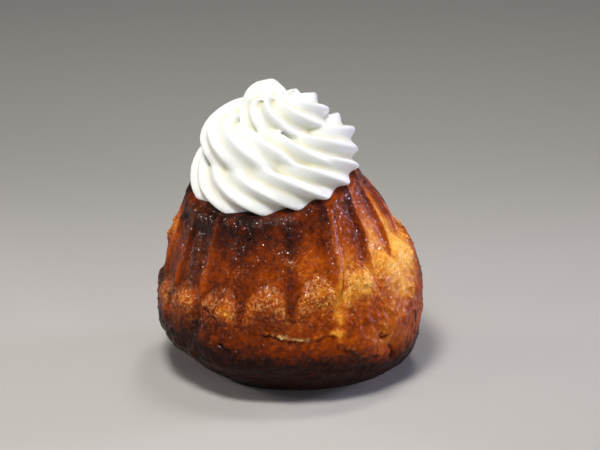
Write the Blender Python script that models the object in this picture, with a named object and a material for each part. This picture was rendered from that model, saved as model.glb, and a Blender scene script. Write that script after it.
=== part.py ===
"""Rum baba: a small fluted yeast cake that slumped to the left and forwards as it was turned out, standing
on its risen base, under a piped rosette of whipped cream. Two solids: the cake, and the cream a hair's
breadth above the cake's flat top.

Blender 4.5, metres, +Z up. The origin is on the resting plane, in the middle of the flat base, and the side
that is looked at faces -Y. Angles round the cake run from the front, positive to the right.
"""

import math

import bmesh
import bpy
from mathutils import Matrix, Vector, noise

MM = 0.001

# ---------------------------------------------------------------- cake: driving dimensions
CAKE_HEIGHT = 59.0 * MM  # along its leaning middle line
# Radius over the ribs at heights along that line: flat base, puffed belly, fluted cone, flat top.
FLANK_HEIGHTS = [
    v * MM for v in (0.0, 0.4, 1.2, 3.0, 7.1, 13.1, 20.2, 27.3, 34.5, 41.6, 48.7, 54.0, 56.9, 58.4, 59.0)
]
FLANK_RADII = [
    v * MM for v in (21.5, 24.2, 26.4, 29.3, 32.9, 35.3, 36.7, 35.7, 33.2, 31.0, 27.4, 24.7, 23.4, 21.8, 20.0)
]
TOP_SHIFT_LEFT = 7.8 * MM  # how far the slumped top has moved off the base
TOP_SHIFT_FORWARD = 8.6 * MM
TOP_TILT_LEFT = math.radians(8.4)
TOP_TILT_FORWARD = math.radians(12.0)
TILT_STARTS = 2.0 * MM  # below this height the soft base lies level
TILT_FULL = 27.0 * MM
BULGE = 1.2 * MM  # the puffed dough swells further to the right
BULGE_HEIGHT = 8.5 * MM
BULGE_REACH = 14.0 * MM

FLUTES = 16
FRONT_RIB = math.radians(8.1)  # one rib's place round the middle line, 45 mm up
RIB_SPREAD = math.radians(4.6)  # the slump spread the ribs at the front and bunched them at the sides
RIB_LEAN = math.radians(16.6)  # on the right they lean by this much in RIB_LEAN_RISE
RIB_LEAN_RISE = 20.0 * MM
RIB_LEAN_MIDDLE = 45.0 * MM
RIB_FOOT = 36.0 * MM  # the columns run straight down from here
PANEL_DEPTH = 1.2 * MM  # of a panel below its ribs
RIB_SHARE = 0.42  # of half a panel's width, over which a rounded rib rises
RIBS_FAINT = 0.5  # the mould left this much less of its ribs in front
RIBS_FAINT_AT = -12.0  # degrees right of the front
RIBS_FAINT_REACH = 17.0
ARCH_TOP = 6.0 * MM  # a panel begins this far below the top, in a pointed arch
ARCH_DROP = 3.5 * MM
CRUST_END = 35.6 * MM  # height at which the panels stop, in the middle of the front
CRUST_END_RISE = 5.9 * MM  # higher at the right, lower at the left
CRUST_END_WANDER = 1.6 * MM
ARCH_RISE = 2.4 * MM  # the crust ends in an arch over each panel
TONGUE = 4.5 * MM  # and runs further down along each rib, most of all in front
TONGUE_SHARE = 0.55  # of half a panel's width
TONGUES_LONGEST_AT = 5.0
TONGUES_REACH = 38.0
LEDGE = 0.4 * MM  # step from the crust down to the puffed dough
LEDGE_FADE = 2.2 * MM
PUFF = 0.7 * MM  # swelling of the dough under each panel
PUFF_DROP = 5.5 * MM
PUFF_REACH = 4.0 * MM

LUMP = 0.9 * MM  # swellings in the puffed dough
LUMP_SIZE = 13.0 * MM
CRUMB = 0.45 * MM
CRUMB_SIZE = 5.0 * MM

# The crust tore as the dough rose, and its upper side lifted: (degrees right of the front, height in mm)
# round an upright axis MARKS_AXIS behind the origin.
MARKS_AXIS = 4.0 * MM
TEAR = ((-10, 22.3), (-4, 21.1), (2, 20.5), (8, 20.9), (13, 21.3), (15, 19.5), (18, 16.9), (25, 14.4), (31, 12.3))
BACK_TEAR = ((150, 23.5), (172, 20.0), (196, 22.5), (214, 18.0))
TEAR_LIFT = 0.7 * MM
TEAR_REACH = 6.0 * MM
# Furrows between the lobes of the dough.
FURROWS = (
    ((18, 31.0), (15, 25.0), (13, 21.3)),
    ((-36, 26.0), (-38, 22.9), (-41, 19.4), (-45, 15.0), (-47, 11.5)),
    ((33, 18.8), (37, 17.0), (43, 12.9), (44, 9.9)),
    ((98, 29.0), (105, 24.0), (103, 15.0)),
    ((-112, 28.0), (-118, 22.0), (-110, 14.0)),
)
FURROW_DEPTH = 0.9 * MM
FURROW_WIDTH = 2.2 * MM
# Lobes and knobs that rose above the rest: degrees, and in mm their height, half width, half height and rise.
SWELLINGS = (
    (-3, 40.5, 2.0, 2.0, 0.6),
    (-27, 26.6, 4.0, 2.2, 0.7),
    (-45, 28.0, 4.0, 2.8, 0.6),
    (-30, 18.0, 7.0, 4.0, 0.5),
    (-60, 19.0, 4.5, 4.5, 0.8),
    (-79, 41.5, 2.2, 2.2, 0.9),
    (-83, 37.5, 2.0, 2.0, 0.8),
    (41, 21.5, 6.5, 5.5, 0.8),
    (131, 38.0, 2.0, 2.0, 0.7),
    (152, 18.0, 7.0, 5.0, 0.7),
    (-140, 41.0, 2.0, 2.0, 0.7),
    (-150, 27.0, 6.0, 4.0, 0.7),
)

COLUMNS_PER_FLUTE = 8
RING_GAP = 2.15 * MM  # between rings, down the flank

# ---------------------------------------------------------------- cream: driving dimensions
# A rope from a star nozzle, laid upright in a rising coil that runs clockwise from above. Its ridges wind
# round the rope as it is laid, less and less towards the end, where it is lifted to a peak.
STAR_POINTS = 7
RIDGE_SHARE = 0.29  # valley depth as a share of the rope's radius
ROPE_START = math.radians(20)  # behind the right-hand side
TWIST_AT_START = 1.95  # turns of the ridges round the rope for each turn of the coil
TWIST_AT_END = 0.95
# At each quarter turn down the rope: radius of the coil, height over the middle of the cake's top, and
# radius of the rope.
COIL_RADII = [v * MM for v in (16.2, 15.0, 14.6, 14.8, 16.2, 10.8, 12.7, 9.0, 8.8, 4.8, 2.2, 0.3)]
ROPE_HEIGHTS = [v * MM for v in (4.2, 1.2, -1.0, 5.0, 8.2, 7.6, 10.4, 13.2, 15.6, 16.4, 19.2, 27.2)]
ROPE_RADII = [v * MM for v in (7.8, 8.8, 8.5, 8.4, 8.1, 8.2, 8.0, 7.6, 7.6, 8.0, 7.6, 6.2)]
PEAK_STARTS = 0.91  # share of the rope's length after which it thins to the peak
COIL_MIDDLE = Vector((1.0 * MM, 1.5 * MM, 0.0))  # from the middle of the cake's top
CREAM_GAP = 0.3 * MM
CORE_FOOT_RADIUS = 13.0 * MM  # the coil's hollow middle is full of cream
CORE_TOP_RADIUS = 4.0 * MM
CORE_FOOT = -9.0 * MM
CORE_TOP = 19.0 * MM
ROPE_STEPS = 300
SECTION_STEPS = STAR_POINTS * 10
CREAM_VOXEL = 0.5 * MM
CREAM_TRIANGLES = 8200

CAKE_COLOUR = (0.36, 0.13, 0.035, 1.0)
CREAM_COLOUR = (0.92, 0.91, 0.84, 1.0)


def smoothstep(low, high, value):
    """0 below low, 1 above high, and a smooth rise between."""
    share = min(1.0, max(0.0, (value - low) / (high - low)))
    return share * share * (3.0 - 2.0 * share)


def bell(offset, reach):
    return math.exp(-((offset / reach) ** 2))


def through(values, share):
    """A smooth curve through evenly spaced values, read at share 0 to 1 (Catmull-Rom)."""
    place = min(max(share, 0.0), 1.0) * (len(values) - 1)
    i = min(int(place), len(values) - 2)
    t = place - i
    p = [values[min(max(i + k, 0), len(values) - 1)] for k in (-1, 0, 1, 2)]
    return 0.5 * (
        2 * p[1]
        + (p[2] - p[0]) * t
        + (2 * p[0] - 5 * p[1] + 4 * p[2] - p[3]) * t**2
        + (3 * p[1] - p[0] - 3 * p[2] + p[3]) * t**3
    )


def material(name, colour, roughness):
    made = bpy.data.materials.new(name)
    made.use_nodes = True
    shader = made.node_tree.nodes["Principled BSDF"]
    shader.inputs["Base Color"].default_value = colour
    shader.inputs["Roughness"].default_value = roughness
    shader.inputs["Metallic"].default_value = 0.0
    made.diffuse_color = colour
    return made


def add_object(name, mesh, finish):
    made = bpy.data.objects.new(name, mesh)
    bpy.context.scene.collection.objects.link(made)
    mesh.materials.append(finish)
    mesh.shade_smooth()
    return made


# ---------------------------------------------------------------- cake
def middle_line(height):
    """The middle of the cake's section at this height along its middle line."""
    share = height / CAKE_HEIGHT
    upright = math.cos(TOP_TILT_LEFT) * math.cos(TOP_TILT_FORWARD)
    return Vector((-TOP_SHIFT_LEFT * share, -TOP_SHIFT_FORWARD * share, height * upright))


def slopes(height):
    """How steeply the section at this height climbs to the right and to the back."""
    share = smoothstep(TILT_STARTS, TILT_FULL, height)
    return math.tan(TOP_TILT_LEFT * share), math.tan(TOP_TILT_FORWARD * share)


def rib_angle(column_angle, height):
    """The direction of a column from the middle line: even flutes, spread and leaned by the slump."""
    even = column_angle + FRONT_RIB
    lean = RIB_LEAN * (max(height, RIB_FOOT) - RIB_LEAN_MIDDLE) / RIB_LEAN_RISE
    return even + RIB_SPREAD * math.sin(2.0 * even) + lean * (1.0 + math.sin(even)) / 2.0


def off_panel_middle(column_angle):
    """-1 and 1 on the ribs, 0 in the middle of a panel."""
    across = column_angle * FLUTES / (2 * math.pi)
    return 2.0 * (across - math.floor(across)) - 1.0


def crust_end(column_angle, angle):
    """Height at which the moulded crust stops and the puffed dough begins."""
    around = Vector((math.sin(angle), math.cos(angle), 0.0)) * 2.3
    level = CRUST_END + CRUST_END_RISE * math.sin(angle) + CRUST_END_WANDER * noise.noise(around)
    off = abs(off_panel_middle(column_angle))
    on_rib = smoothstep(1.0 - TONGUE_SHARE, 1.0, off)
    tongue = TONGUE * bell(math.degrees(angle) - TONGUES_LONGEST_AT, TONGUES_REACH)
    return level - tongue * on_rib + ARCH_RISE * (0.5 - off)


def flute_relief(column_angle, angle, z, to_top):
    """Panels sunk between the ribs, the crust's edge, and the dough puffed out below it."""
    end = crust_end(column_angle, angle)
    off = off_panel_middle(column_angle)
    scoop = PANEL_DEPTH * (1.0 - smoothstep(1.0 - RIB_SHARE, 1.0, abs(off)))
    scoop *= 1.0 - RIBS_FAINT * bell(math.degrees(angle) - RIBS_FAINT_AT, RIBS_FAINT_REACH)
    arch = ARCH_TOP + ARCH_DROP * off * off
    scoop *= smoothstep(arch - 5.0 * MM, arch, to_top)
    if z > end:
        return -scoop
    sunk = (scoop + LEDGE) * bell(end - z, LEDGE_FADE)
    return PUFF * (1.0 - off * off) * bell(end - PUFF_DROP - z, PUFF_REACH) - sunk


def along_path(path, angle, z, girth):
    """Distance from a path drawn on the cake, and the height of the path here."""
    nearest, level = math.inf, z
    for (a0, z0), (a1, z1) in zip(path, path[1:]):
        turn = (math.degrees(angle) - a0 + 180.0) % 360.0 - 180.0
        start = Vector((math.radians(turn) * girth, z - z0 * MM))
        run = Vector((math.radians(a1 - a0) * girth, (z1 - z0) * MM))
        share = min(1.0, max(0.0, start.dot(run) / run.length_squared))
        away = (start - run * share).length
        if away < nearest:
            nearest, level = away, (z0 + (z1 - z0) * share) * MM
    return nearest, level


def dough_relief(angle, z, girth, below_crust):
    """Swellings, torn crust and furrows of the dough that rose out of the mould."""
    place = Vector((girth * math.sin(angle), girth * math.cos(angle), z))
    relief = LUMP * noise.noise(place / LUMP_SIZE) + CRUMB * noise.noise(place / CRUMB_SIZE)
    for path in (TEAR, BACK_TEAR):
        away, level = along_path(path, angle, z, girth)
        lifted = smoothstep(-1.2 * MM, 1.2 * MM, z - level)
        relief += TEAR_LIFT * lifted * bell(away, TEAR_REACH)
    for path in FURROWS:
        away, _ = along_path(path, angle, z, girth)
        relief -= FURROW_DEPTH * bell(away, FURROW_WIDTH)
    return relief * below_crust * smoothstep(0.5 * MM, 6.0 * MM, z)


def swelling(angle, z, girth):
    """The lobes and knobs that stand out from the rest."""
    relief = 0.0
    for degrees, height, half_width, half_height, rise in SWELLINGS:
        turn = (math.degrees(angle) - degrees + 180.0) % 360.0 - 180.0
        across = math.radians(turn) * girth / (half_width * MM)
        up = (z / MM - height) / half_height
        relief += rise * MM * math.exp(-(across**2) - up**2)
    return relief


def flank_radius(height):
    """Radius over the ribs, on a smooth curve through the named stations (Hermite)."""
    places, values = FLANK_HEIGHTS, FLANK_RADII
    i = max(k for k in range(len(places) - 1) if places[k] <= height)
    run = places[i + 1] - places[i]
    t = (height - places[i]) / run

    def bend(k):
        first, last = max(k - 1, 0), min(k + 1, len(places) - 1)
        return (values[last] - values[first]) / (places[last] - places[first]) * run

    return (
        values[i] * (2 * t**3 - 3 * t**2 + 1)
        + bend(i) * (t**3 - 2 * t**2 + t)
        + values[i + 1] * (3 * t**2 - 2 * t**3)
        + bend(i + 1) * (t**3 - t**2)
    )


def ring_heights():
    """Heights of the rings: even steps up the flank, closer at the base and over the shoulder."""
    lower, upper = FLANK_HEIGHTS[3], FLANK_HEIGHTS[-4]
    count = round((upper - lower) / RING_GAP)
    even = [lower + (upper - lower) * k / count for k in range(count + 1)]
    return [*FLANK_HEIGHTS[:3], *even, (upper + FLANK_HEIGHTS[-3]) / 2, *FLANK_HEIGHTS[-3:]]


def flank_point(column_angle, height):
    direction = rib_angle(column_angle, height)
    outward = Vector((math.sin(direction), -math.cos(direction), 0.0))
    climb_right, climb_back = slopes(height)
    outward.z = climb_right * outward.x + climb_back * outward.y
    radius = flank_radius(height) + BULGE * bell(height - BULGE_HEIGHT, BULGE_REACH) * outward.x
    middle = middle_line(height)
    skin = middle + outward * radius

    from_marks = Vector((skin.x, MARKS_AXIS - skin.y))
    angle, girth = math.atan2(from_marks.x, from_marks.y), from_marks.length
    relief = flute_relief(column_angle, angle, skin.z, CAKE_HEIGHT - height)
    below_crust = 1.0 - smoothstep(-4.0 * MM, 0.0, skin.z - crust_end(column_angle, angle))
    relief += dough_relief(angle, skin.z, girth, below_crust) + swelling(angle, skin.z, girth)
    return middle + outward * (radius + relief * smoothstep(0.0, 2.0 * MM, skin.z))


def build_cake():
    form = bmesh.new()
    columns = FLUTES * COLUMNS_PER_FLUTE
    rings = [
        [form.verts.new(flank_point(2 * math.pi * k / columns, height)) for k in range(columns)]
        for height in ring_heights()
    ]
    for lower, upper in zip(rings, rings[1:]):
        for i in range(columns):
            k = (i + 1) % columns
            form.faces.new((lower[i], lower[k], upper[k], upper[i]))
    form.faces.new(list(reversed(rings[0])))
    form.faces.new(rings[-1])
    bmesh.ops.recalc_face_normals(form, faces=form.faces)
    mesh = bpy.data.meshes.new("baba")
    form.to_mesh(mesh)
    form.free()
    return add_object("baba", mesh, material("baked_crust", CAKE_COLOUR, 0.35))


# ---------------------------------------------------------------- cream
def star_radius(angle):
    """The nozzle's star, 1 at a ridge and 1 - RIDGE_SHARE in a valley."""
    valley = abs(math.sin(STAR_POINTS * angle / 2.0)) ** 1.5
    return 1.0 - RIDGE_SHARE * valley


def coil_turns():
    return (len(COIL_RADII) - 1) / 4.0


def outward_at(share):
    turned = ROPE_START - 2 * math.pi * coil_turns() * share
    return Vector((math.cos(turned), math.sin(turned), 0.0))


def rope_middle(share):
    middle = COIL_MIDDLE + outward_at(share) * through(COIL_RADII, share)
    middle.z = through(ROPE_HEIGHTS, share)
    return middle


def rope_ring(share):
    """The star section at this share of the rope's length, square to the way that it runs."""
    nudge = 0.5 / ROPE_STEPS
    run = (rope_middle(share + nudge) - rope_middle(share - nudge)).normalized()
    outward = outward_at(share)
    side = (outward - run * outward.dot(run)).normalized()
    above = run.cross(side)
    middle = rope_middle(share)
    to_peak = smoothstep(PEAK_STARTS, 1.0, share)
    radius = through(ROPE_RADII, share) * math.sqrt(1.0 - 0.98 * to_peak**2)
    wound = TWIST_AT_START * share + (TWIST_AT_END - TWIST_AT_START) * share**2 / 2
    twist = 2 * math.pi * coil_turns() * wound
    ring = []
    for k in range(SECTION_STEPS):
        angle = 2 * math.pi * k / SECTION_STEPS
        reach = radius * star_radius(angle - twist)
        ring.append(middle + side * (reach * math.cos(angle)) + above * (reach * math.sin(angle)))
    return ring


def rope_form(form):
    """The star rope along its coil, closed at both ends, as one self-crossing tube."""
    rings = [
        [form.verts.new(point) for point in rope_ring(step / ROPE_STEPS)]
        for step in range(ROPE_STEPS + 1)
    ]
    for lower, upper in zip(rings, rings[1:]):
        for i in range(SECTION_STEPS):
            k = (i + 1) % SECTION_STEPS
            form.faces.new((lower[i], upper[i], upper[k], lower[k]))
    form.faces.new(rings[0])
    form.faces.new(list(reversed(rings[-1])))
    bmesh.ops.recalc_face_normals(form, faces=form.faces)


def cream_core(form):
    middle = COIL_MIDDLE + Vector((0.0, 0.0, (CORE_FOOT + CORE_TOP) / 2))
    bmesh.ops.create_cone(
        form,
        cap_ends=True,
        segments=24,
        radius1=CORE_FOOT_RADIUS,
        radius2=CORE_TOP_RADIUS,
        depth=CORE_TOP - CORE_FOOT,
        matrix=Matrix.Translation(middle),
    )


def one_skin(mesh):
    """The overlapping turns grown together into one surface of few triangles."""
    rope = bpy.data.objects.new("rope", mesh)
    bpy.context.scene.collection.objects.link(rope)
    remesh = rope.modifiers.new("one_skin", "REMESH")
    remesh.mode = "VOXEL"
    remesh.voxel_size = CREAM_VOXEL
    soften = rope.modifiers.new("soften", "SMOOTH")
    soften.factor = 0.5
    soften.iterations = 3
    graph = bpy.context.evaluated_depsgraph_get()
    dense = len(rope.evaluated_get(graph).data.polygons) * 2
    fewer = rope.modifiers.new("fewer", "DECIMATE")
    fewer.ratio = CREAM_TRIANGLES / dense
    graph = bpy.context.evaluated_depsgraph_get()
    skin = bpy.data.meshes.new_from_object(rope.evaluated_get(graph))
    bpy.data.objects.remove(rope)
    return skin


def drop_scraps(form):
    """Keeps the largest piece, without the slivers that the cut leaves along its edge."""
    pieces, seen = [], set()
    for face in form.faces:
        if face in seen:
            continue
        piece, front = {face}, [face]
        while front:
            for edge in front.pop().edges:
                near = set(edge.link_faces) - piece
                piece |= near
                front.extend(near)
        seen |= piece
        pieces.append(piece)
    scraps = seen - max(pieces, key=len)
    bmesh.ops.delete(form, geom=list(scraps), context="FACES")


def build_cream():
    form = bmesh.new()
    rope_form(form)
    cream_core(form)
    mesh = bpy.data.meshes.new("rope")
    form.to_mesh(mesh)
    form.free()
    mesh = one_skin(mesh)
    mesh.transform(Matrix.Translation(middle_line(CAKE_HEIGHT)))

    climb_right, climb_back = slopes(CAKE_HEIGHT)
    up = Vector((-climb_right, -climb_back, 1.0)).normalized()
    form = bmesh.new()
    form.from_mesh(mesh)
    bmesh.ops.bisect_plane(
        form,
        geom=[*form.verts, *form.edges, *form.faces],
        plane_co=middle_line(CAKE_HEIGHT) + up * CREAM_GAP,
        plane_no=-up,
        clear_outer=True,
    )
    drop_scraps(form)
    bmesh.ops.holes_fill(form, edges=form.edges, sides=0)
    bmesh.ops.recalc_face_normals(form, faces=form.faces)
    form.to_mesh(mesh)
    form.free()
    mesh.materials.clear()
    return add_object("whipped_cream", mesh, material("whipped_cream", CREAM_COLOUR, 0.45))


def main():
    for old in list(bpy.data.objects):
        bpy.data.objects.remove(old)
    build_cake()
    build_cream()


main()
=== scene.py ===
"""The looks of a rum baba: a fluted yeast cake soaked in syrup, with a piped rosette of whipped cream on its top.

Blender 4.5. Every mesh is worked out in millimetres and scaled to metres as it is made. Angles round the cake run
from the front (-Y), positive to the right.
"""

import math

import bmesh
import bpy
import numpy as np
from mathutils import Matrix, Vector, noise


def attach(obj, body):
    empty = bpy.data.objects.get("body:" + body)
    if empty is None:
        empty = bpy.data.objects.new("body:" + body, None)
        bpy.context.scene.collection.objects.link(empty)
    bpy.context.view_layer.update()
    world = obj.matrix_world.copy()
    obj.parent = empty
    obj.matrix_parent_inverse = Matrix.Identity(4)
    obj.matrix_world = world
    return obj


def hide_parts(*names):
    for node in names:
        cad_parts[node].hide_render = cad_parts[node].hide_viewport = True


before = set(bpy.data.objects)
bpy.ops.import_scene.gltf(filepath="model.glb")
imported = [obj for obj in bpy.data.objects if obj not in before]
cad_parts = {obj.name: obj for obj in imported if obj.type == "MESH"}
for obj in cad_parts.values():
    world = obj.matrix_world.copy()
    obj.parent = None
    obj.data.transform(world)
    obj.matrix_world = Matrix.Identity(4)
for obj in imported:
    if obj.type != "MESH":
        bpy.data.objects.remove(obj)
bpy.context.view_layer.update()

# ---------------------------------------------------------------- the cake
# A yeast dough baked in a fluted mould with its rounded risen side down, then turned out and soaked in rum syrup.
# The mould gave the crust its ribs and scooped panels; below them the dough puffed out, tore and browned freely,
# and the whole cake slumped to the left and forwards.
MM = 0.001
CAKE_HEIGHT = 59.0  # along its leaning middle line
# Radius over the ribs at heights along that line: flat base, puffed belly, fluted cone, flat top.
FLANK_HEIGHTS = (0.0, 0.4, 1.2, 3.0, 7.1, 13.1, 20.2, 27.3, 34.5, 41.6, 48.7, 54.0, 56.9, 58.4, 59.0)
FLANK_RADII = (21.5, 24.2, 26.4, 29.3, 32.9, 35.3, 36.7, 35.7, 33.2, 31.0, 27.4, 24.7, 23.4, 21.8, 20.0)
TOP_SHIFT = (-7.8, -8.6)
TILT_LEFT, TILT_FORWARD = math.radians(8.4), math.radians(12.0)
TILT_STARTS, TILT_FULL = 2.0, 27.0
UPRIGHT = math.cos(TILT_LEFT) * math.cos(TILT_FORWARD)  # height for each millimetre along the leaning line
BULGE, BULGE_HEIGHT, BULGE_REACH = 1.2, 8.5, 14.0  # the dough swells further to the right
FLUTES = 16
FRONT_RIB, RIB_SPREAD, RIB_LEAN = math.radians(8.1), math.radians(4.6), math.radians(16.6)
RIB_LEAN_RISE, RIB_LEAN_MIDDLE, RIB_FOOT = 20.0, 45.0, 36.0
PANEL_DEPTH, RIB_SHARE = 1.2, 0.42  # a rounded rib rises over this share of half a panel's width
# A rib wanders by up to this share of a panel's width, where the dough held on to the mould.
RIB_STRAY, STRAY_SIZE = 0.07, (9.0, 9.0, 6.0)
RIBS_FAINT_AT, RIBS_FAINT_REACH, RIBS_FAINT = -12.0, 17.0, 0.5  # the mould left less of its ribs in front
ARCH_TOP, ARCH_DROP, ARCH_RUN = 6.0, 3.5, 5.0  # a panel begins this far below the top, in a pointed arch
CRUST_END, CRUST_END_RISE = 35.6, 5.9  # the mould's crust ends higher on the right
CRUST_END_WANDER, CRUST_END_WAVES = 1.6, 2.3
RAGGED = ((0.55, 2.6, 7.0), (0.3, 1.1, 9.0))  # its end, as layers of noise: share, size of the lumps, seed
TONGUE, TONGUE_SHARE = 4.5, 0.55  # the crust runs further down along each rib, most of all in front
TONGUES_LONGEST_AT, TONGUES_REACH = 5.0, 38.0
ARCH_RISE = 2.4  # and ends in an arch over each panel
LEDGE, LEDGE_FADE = 0.4, 2.2
PUFF, PUFF_DROP, PUFF_REACH = 0.7, 5.5, 4.0
OPEN_DROP, OPEN_REACH = 4.0, 4.5  # the puffs' skin burst open round this far below the crust's end
PUFFS_FEWER_FROM, PUFFS_FEWEST_FROM, PUFFS_FEWER = 65.0, 90.0, 0.85  # degrees to either side, share gone
DOUGH_FADE = 4.0  # the dough's own forms begin over this far below the crust's end
CALM_FOOT, CALM_FOOT_TOP = 0.5, 6.0  # and end towards the flat foot
LUMPS = ((0.9, 13.0, 0.0), (0.45, 5.0, 0.0))
SHAKEN_ACROSS = ((0.7, 3.2, 3.0), (0.35, 1.3, 5.0))  # lines on the dough wander to the side
SHAKEN_UP = ((0.6, 3.0, 13.0), (0.3, 1.2, 17.0))  # and up and down
MARKS_AXIS = 4.0  # what is placed by degrees goes round an upright axis this far behind the origin
# Tears, furrows and folds are lines through points, each given as degrees and height.
TEARS = (
    ((-10, 22.3), (-4, 21.1), (2, 20.5), (8, 20.9), (13, 21.3), (15, 19.5), (18, 16.9), (25, 14.4), (31, 12.3)),
    ((150, 23.5), (172, 20.0), (196, 22.5), (214, 18.0)),
)
TEAR_LIFT, TEAR_REACH, TEAR_NEAR = 0.5, 6.0, 1.6
LIP_RISE, LIP_ABOVE, LIP_WIDTH = 0.25, 0.35, 0.45  # the torn upper lip of a tear
LIP_WHOLE_AT, LIP_WHOLE_REACH = -4.0, 5.0  # degrees at which it is least broken
CREVICE_DEPTH, CREVICE_BELOW, CREVICE_WIDTH = 0.45, 0.45, 0.45  # the crevice under that lip
FURROWS = (
    ((18, 31.0), (15, 25.0), (13, 21.3)),
    ((-36, 26.0), (-38, 22.9), (-41, 19.4), (-45, 15.0), (-47, 11.5)),
    ((33, 18.8), (37, 17.0), (43, 12.9), (44, 9.9)),
    ((98, 29.0), (105, 24.0), (103, 15.0)),
    ((-112, 28.0), (-118, 22.0), (-110, 14.0)),
)
FURROW_DEPTH, FURROW_WIDTH = 0.9, 2.2
FOLDS = (
    ((-57, 28.5), (-54, 26.5), (-50.5, 25.0), (-47, 22.4)),
    ((60, 33.0), (63, 30.0), (64, 26.0)),
    ((-128, 31.0), (-124, 27.0), (-125, 24.0)),
)
FOLD_RISE, FOLD_WIDTH = 0.5, 0.8
# Short cracks in the browned skin of the dough, each a line of a few millimetres.
CRACKS = (
    ((-28, 17.9), (-26, 17.3), (-24, 16.5)),
    ((-36, 26.4), (-33, 25.4), (-31, 24.9)),
    ((34, 18.6), (36, 17.3), (38, 17.6)),
    ((41, 13.9), (43, 12.4), (43.5, 9.9)),
    ((58, 20.5), (61, 16.0), (60, 13.0)),
    ((-72, 24.5), (-68, 21.0), (-66, 16.5)),
    ((128, 27.0), (133, 22.0), (131, 19.0)),
    ((-140, 26.0), (-135, 23.5), (-129, 23.0)),
    ((-160, 17.5), (-156, 15.0), (-150, 14.6)),
    ((84, 19.0), (88, 16.5), (93, 16.0)),
)
CRACK_DEPTH, CRACK_WIDTH = 0.8, 0.4
# Places darker (+) or paler (-) than the rest, most from baking: degrees, height, half width, half height, change.
SPOTS = (
    # Painted light: this paler patch at the left edge stands for light shining through its thin lobes.
    (-76, 42.0, 6.0, 4.5, -0.4),
    (80, 48.0, 4.0, 8.0, 0.25),
    (82, 21.0, 5.0, 9.0, 0.2),
    (-74, 27.0, 4.0, 4.0, 0.2),
    (-64, 33.0, 5.0, 4.0, -0.08),
    (-60, 26.0, 4.0, 3.0, -0.1),
    (-46, 40.0, 4.0, 8.0, 0.06),
    (-45, 28.5, 5.0, 3.0, -0.2),
    (-41, 19.4, 1.5, 5.0, 0.1),
    (-38, 23.0, 2.5, 2.5, 0.12),
    (-27, 26.6, 3.5, 2.0, -0.32),
    (-9, 27.0, 7.0, 3.5, 0.12),
    (-30, 32.0, 2.5, 2.5, 0.15),
    (18, 31.0, 3.0, 3.0, -0.12),
    (-3, 46.5, 2.4, 3.5, 0.14),
    (-3, 35.0, 1.6, 2.0, 0.14),
    (16, 25.0, 1.4, 5.0, -0.3),
    (13.5, 21.8, 2.2, 0.9, -0.25),
    (18, 35.0, 3.5, 4.0, -0.1),
    (29, 44.0, 4.5, 6.0, 0.16),
    (15, 14.0, 8.0, 2.2, 0.08),
    (36, 13.0, 6.0, 4.0, -0.12),
    (28, 33.5, 3.0, 3.0, -0.3),
    (10, 28.0, 4.0, 2.5, -0.08),
    (36, 39.0, 2.0, 5.0, -0.18),
    (45, 35.0, 3.0, 4.0, -0.16),
    (56, 31.0, 4.0, 6.0, -0.12),
    (38, 20.0, 5.0, 4.0, -0.1),
    (45, 12.0, 4.0, 7.0, -0.1),
    (-56, 52.0, 3.0, 3.0, -0.25),
    (50, 27.0, 5.0, 3.0, -0.2),
    # Painted light: this paler patch at the foot stands for a glow of light there.
    (49, 1.0, 5.0, 1.6, -0.5),
    (66, 37.0, 8.0, 5.0, -0.28),
    (70, 28.0, 7.0, 4.0, 0.14),
    (58, 20.0, 9.0, 7.0, 0.2),
    (150, 40.0, 6.0, 6.0, -0.2),
    (-150, 36.0, 7.0, 6.0, -0.15),
    (118, 30.0, 5.0, 3.0, -0.15),
    (-118, 27.0, 5.0, 3.0, -0.15),
)
# Knobs and lobes that rose above the rest: degrees, height, half width, half height, rise.
SWELLINGS = (
    (-3, 40.5, 1.5, 1.5, 0.7),
    (-5, 27.5, 1.6, 1.6, 0.5),
    (-22, 37.5, 1.2, 1.2, 0.5),
    (-27, 26.6, 4.0, 2.2, 0.7),
    (-45, 28.0, 4.0, 2.8, 0.6),
    (-30, 18.0, 7.0, 4.0, 0.5),
    (-49, 50.5, 1.5, 1.5, 0.5),
    (-60, 19.0, 4.5, 4.5, 0.8),
    (-79, 41.5, 2.2, 2.2, 0.9),
    (-83, 37.5, 1.8, 1.8, 0.8),
    (41, 21.5, 6.5, 5.5, 0.8),
    (57, 27.0, 1.4, 3.2, 0.6),
    (131, 38.0, 1.8, 1.8, 0.7),
    (152, 18.0, 7.0, 5.0, 0.7),
    (-140, 41.0, 1.6, 1.6, 0.7),
    (-150, 27.0, 6.0, 4.0, 0.7),
)
KNOB_WIDTH = 2.3  # the narrower swellings are crusty knobs, which syrup stands on
# Grain of the surface, in lumps of these sizes, and its height on the crust, on the dough and on the puffs.
COARSE, FINE, FINER, CREASED = 5.0, 2.2, 1.0, (4.0, 4.0, 1.4)
CRUST_COARSE, CRUST_FINE, CRUST_FINER = 0.16, 0.12, 0.12
DOUGH_FINE, DOUGH_FINER, DOUGH_CREASED = 0.26, 0.25, 0.18
PUFF_FINE, PUFF_FINER = 0.5, 0.45
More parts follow.
